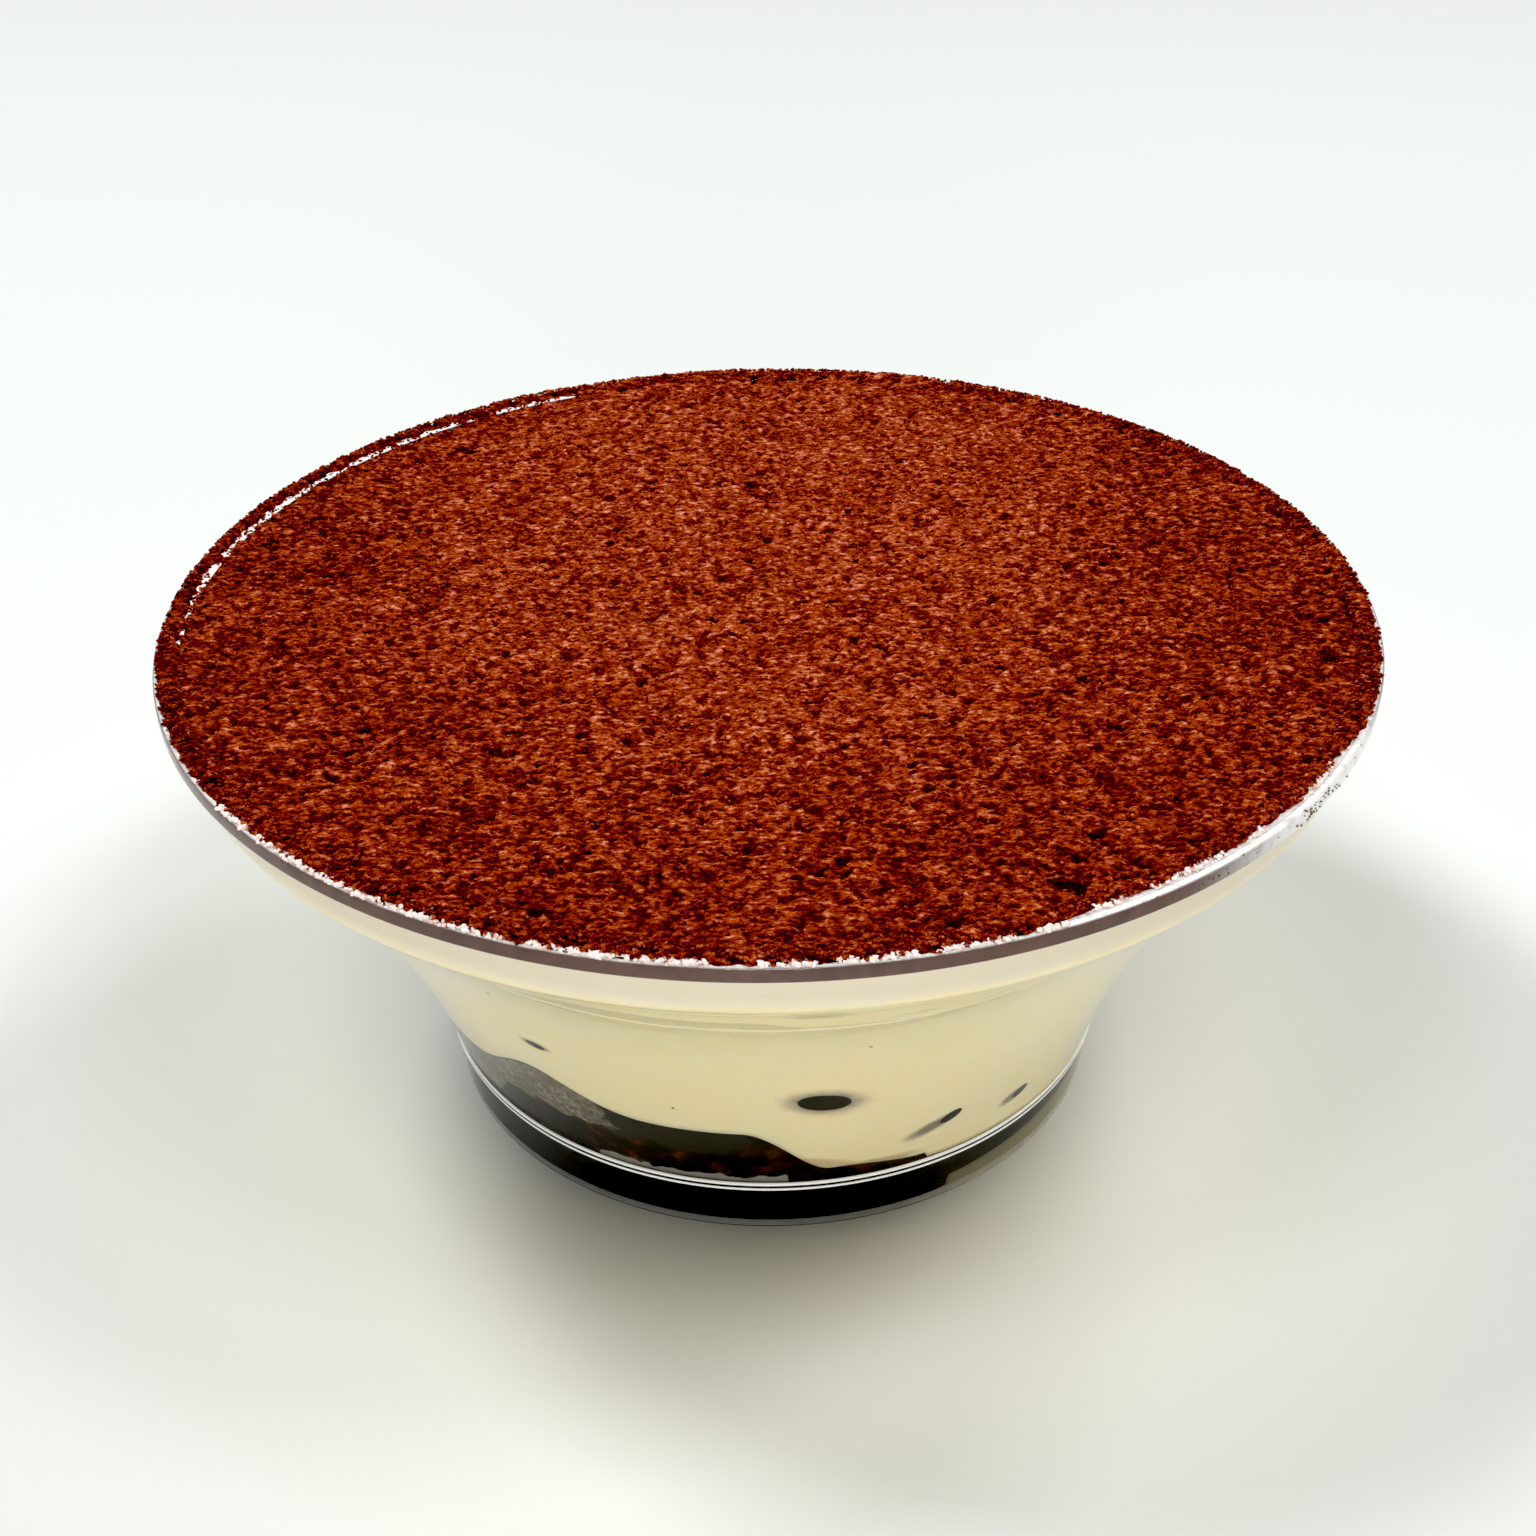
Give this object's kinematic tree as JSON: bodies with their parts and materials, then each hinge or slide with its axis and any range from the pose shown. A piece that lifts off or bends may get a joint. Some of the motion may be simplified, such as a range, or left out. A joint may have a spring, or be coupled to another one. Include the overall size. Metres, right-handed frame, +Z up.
{
  "type": "tiramisu in a clear dessert cup",
  "caption": "Tiramisu in a round clear flared cup with a foot ring: soaked sponge below, mascarpone cream above, and a flat cocoa powder top flush with the rim.",
  "frame": {"origin": "centre of the foot ring's underside, on the cup's axis, which is the bottom centre of the whole box", "axes": "+Z up along the cup's axis; -Y is the front, the side that the picture looks at; +X is to the right seen from the front"},
  "size_m": [0.1, 0.1, 0.0433],
  "materials": {
    "clear_plastic": "clear, glossy, faintly grey-green where it is seen edge on",
    "soaked_sponge": "wet, nearly black brown, pressed against the wall",
    "mascarpone_cream": "smooth pale yellow cream, semi matt against the wall",
    "cocoa_powder": "dry, matt, clumped powder of orange brown with dark maroon pits"
  },
  "bodies": {
    "root": {"cup": "clear_plastic", "sponge": "soaked_sponge", "cream": "mascarpone_cream", "cocoa": "cocoa_powder", "sponge_spot_1": "soaked_sponge", "sponge_spot_2": "soaked_sponge", "sponge_spot_3": "soaked_sponge", "sponge_spot_4": "soaked_sponge"}
  },
  "joints": []
}
